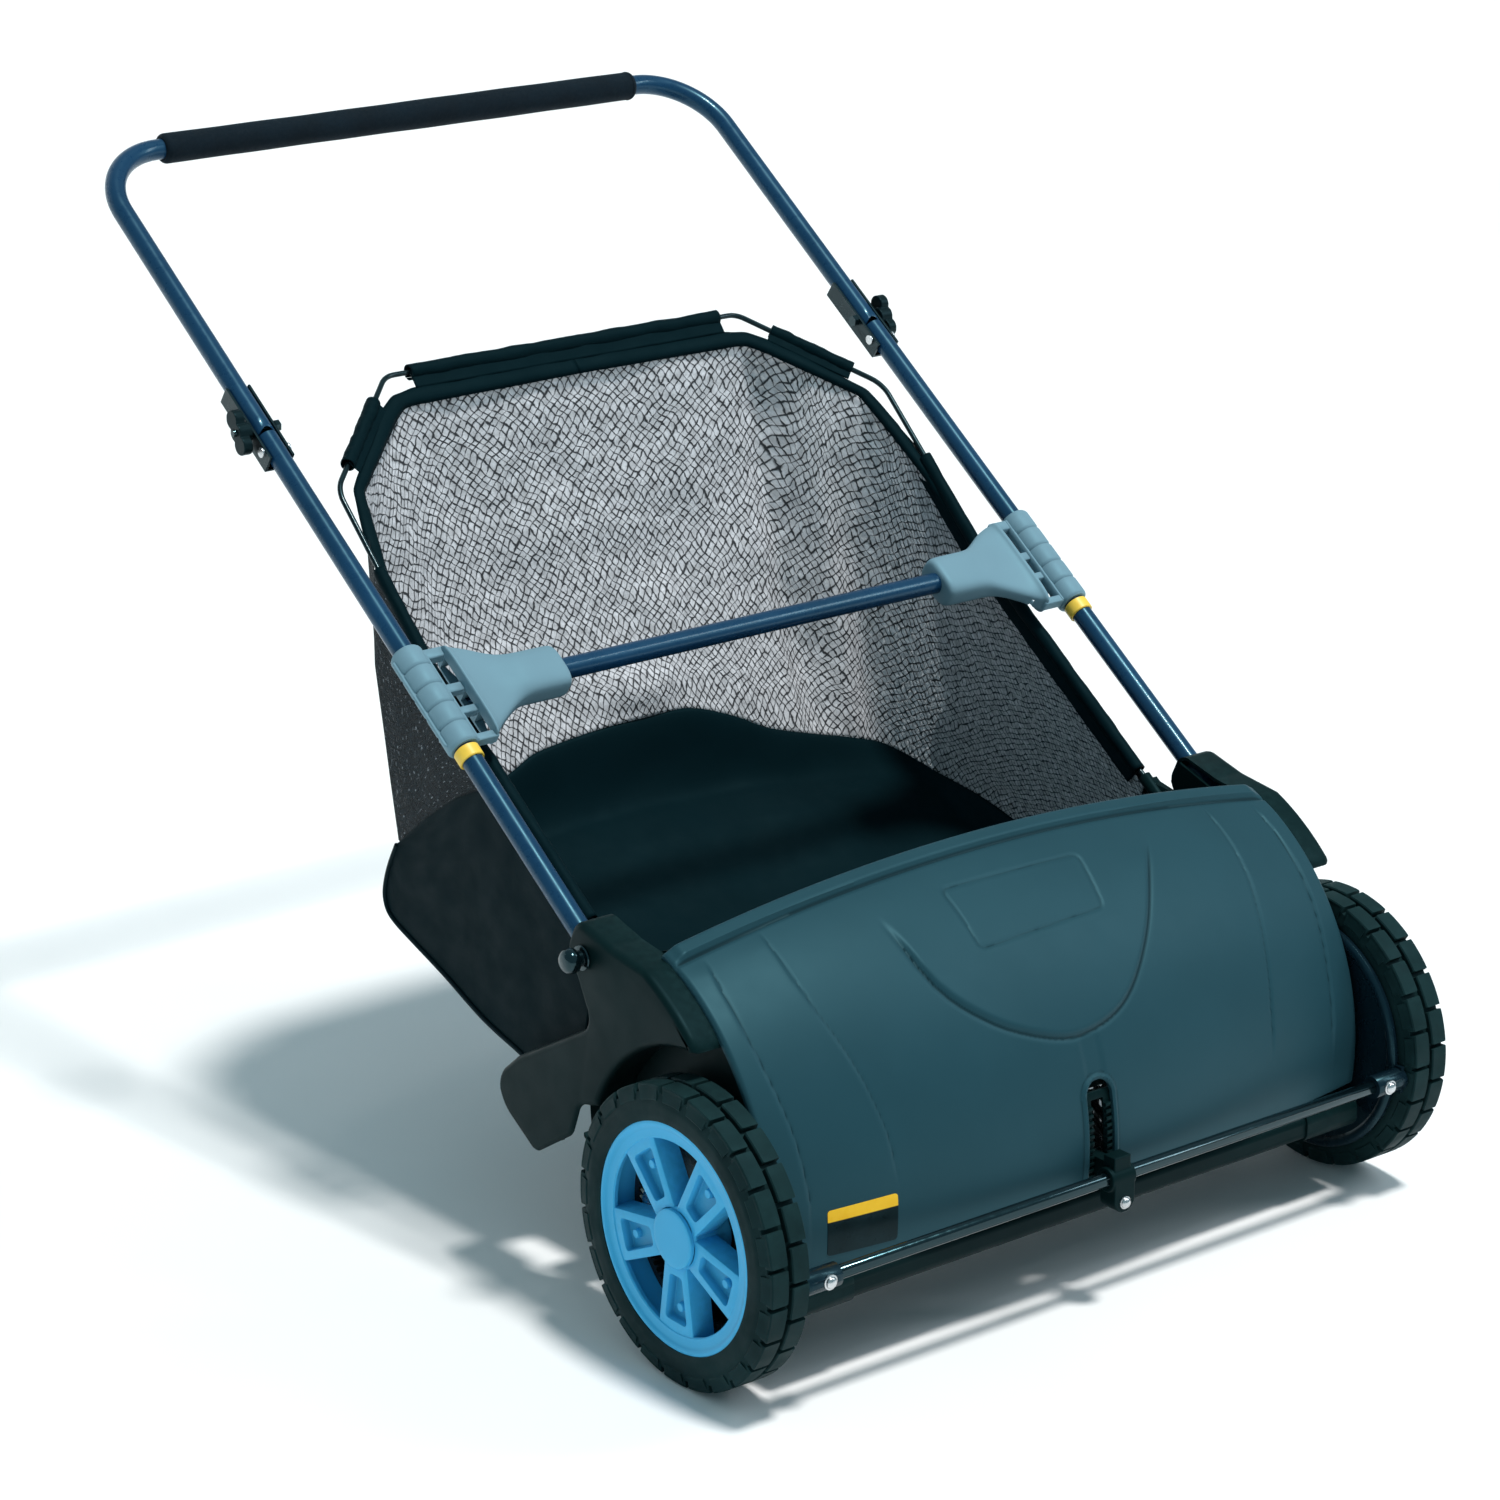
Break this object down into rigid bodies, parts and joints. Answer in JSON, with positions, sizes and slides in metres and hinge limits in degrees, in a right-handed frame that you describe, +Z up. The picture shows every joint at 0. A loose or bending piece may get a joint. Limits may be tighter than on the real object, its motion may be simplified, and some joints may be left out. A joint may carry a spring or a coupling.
{
  "type": "push lawn sweeper",
  "caption": "Hand-pushed lawn sweeper: geared wheels turn a brush under a crowned cover and fill a lift-off mesh bag; folding tube handle, foam grip.",
  "frame": {"origin": "bottom centre of the whole sweeper's box, on the ground midway between the wheels", "axes": "+Z up; -Y the front, the way it is pushed; +Y the handle and bag end; +X across, with left meaning -X, as seen from the front"},
  "size_m": [0.757, 1.0532, 0.8641],
  "materials": {
    "cover_plastic": "satin",
    "black_plastic": "satin",
    "label_yellow": "satin",
    "steel": "satin",
    "bush_plastic": "satin",
    "tube_paint": "gloss",
    "black_metal": "satin",
    "clamp_plastic": "satin",
    "stop_yellow": "satin",
    "foam": "matte",
    "knob_plastic": "satin",
    "carrier_plastic": "satin",
    "tyre_rubber": "matte",
    "hub_blue": "satin",
    "gear_plastic": "satin",
    "bristle": "matte",
    "solid_fabric": "satin",
    "mesh_fabric": "matte"
  },
  "bodies": {
    "housing": {"front_cover": "cover_plastic", "slot_rack": "black_plastic", "label_plate": "label_yellow", "side_cover_left": "black_plastic", "side_cover_right": "black_plastic", "end_plate_left": "black_plastic", "end_plate_right": "black_plastic", "lower_rail": "black_plastic", "rear_chute": "black_plastic", "housing_screws": "steel", "bag_sockets": "black_plastic", "brush_bushes": "bush_plastic", "lower_tube_left": "tube_paint", "lower_tube_right": "tube_paint", "tube_bolts": "black_metal", "crossbar": "tube_paint", "clamp_left": "clamp_plastic", "clamp_right": "clamp_plastic", "stop_rings": "stop_yellow", "fold_bracket_left": "black_metal", "fold_bracket_right": "black_metal", "bracket_rivets": "steel"},
    "upper_handle": {"upper_handle": "tube_paint", "foam_grip": "foam", "fold_bolts": "steel"},
    "knob_left": {"wing_knob_left": "knob_plastic"},
    "knob_right": {"wing_knob_right": "knob_plastic"},
    "axle_carrier": {"carrier_left": "carrier_plastic", "carrier_right": "carrier_plastic", "stub_axle_left": "steel", "stub_axle_right": "steel", "axle_nuts": "steel", "front_rod": "tube_paint", "rod_screws": "steel", "adjuster_bracket": "black_plastic"},
    "height_bolt": {"height_bolt": "steel"},
    "wheel_left": {"tyre_left": "tyre_rubber", "hub_left": "hub_blue", "ring_gear_left": "gear_plastic", "wheel_bush_left": "bush_plastic", "hub_cap_left": "hub_blue"},
    "wheel_right": {"tyre_right": "tyre_rubber", "hub_right": "hub_blue", "ring_gear_right": "gear_plastic", "wheel_bush_right": "bush_plastic", "hub_cap_right": "hub_blue"},
    "brush": {"brush_shaft": "steel", "brush_core": "black_plastic", "bristle_rows": "bristle", "pinion_left": "bush_plastic", "pinion_right": "bush_plastic", "drive_keys": "steel", "shaft_clips": "steel"},
    "bag": {"bag_frame": "black_metal", "bag_sleeves": "solid_fabric", "bag_floor": "solid_fabric", "bag_side_left": "mesh_fabric", "bag_side_right": "mesh_fabric", "bag_rear": "mesh_fabric"}
  },
  "joints": [
    {"name": "handle_fold", "type": "hinge", "parent": "housing", "child": "upper_handle", "pos_m": [0, 0.23494, 0.65565], "axis": [1, 0, 0], "range_deg": [0, 90]},
    {"name": "knob_left_turn", "type": "hinge", "parent": "upper_handle", "child": "knob_left", "pos_m": [-0.365, 0.23494, 0.65565], "axis": [-1, 0, 0], "continuous": true},
    {"name": "knob_right_turn", "type": "hinge", "parent": "upper_handle", "child": "knob_right", "pos_m": [0.365, 0.23494, 0.65565], "axis": [1, 0, 0], "continuous": true},
    {"name": "height_adjust", "type": "hinge", "parent": "housing", "child": "axle_carrier", "pos_m": [0, -0.33563, 0.127], "axis": [-1, 0, 0], "range_deg": [0, 15]},
    {"name": "height_bolt_turn", "type": "hinge", "parent": "axle_carrier", "child": "height_bolt", "pos_m": [0, -0.51053, 0.096], "axis": [0, -1, 0], "continuous": true},
    {"name": "wheel_left_spin", "type": "hinge", "parent": "axle_carrier", "child": "wheel_left", "pos_m": [-0.357, -0.39963, 0.127], "axis": [1, 0, 0], "continuous": true},
    {"name": "wheel_right_spin", "type": "hinge", "parent": "axle_carrier", "child": "wheel_right", "pos_m": [0.357, -0.39963, 0.127], "axis": [1, 0, 0], "continuous": true},
    {"name": "brush_spin", "type": "hinge", "parent": "axle_carrier", "child": "brush", "pos_m": [0, -0.33563, 0.127], "axis": [1, 0, 0], "continuous": true},
    {"name": "bag_lift", "type": "slide", "parent": "housing", "child": "bag", "axis": [0, 0.8192, 0.5736], "range_m": [0, 0.25]}
  ],
  "couplings": [
    {"joint": "wheel_right_spin", "follows": "wheel_left_spin", "ratio": 1},
    {"joint": "brush_spin", "follows": "wheel_left_spin", "ratio": 5}
  ]
}
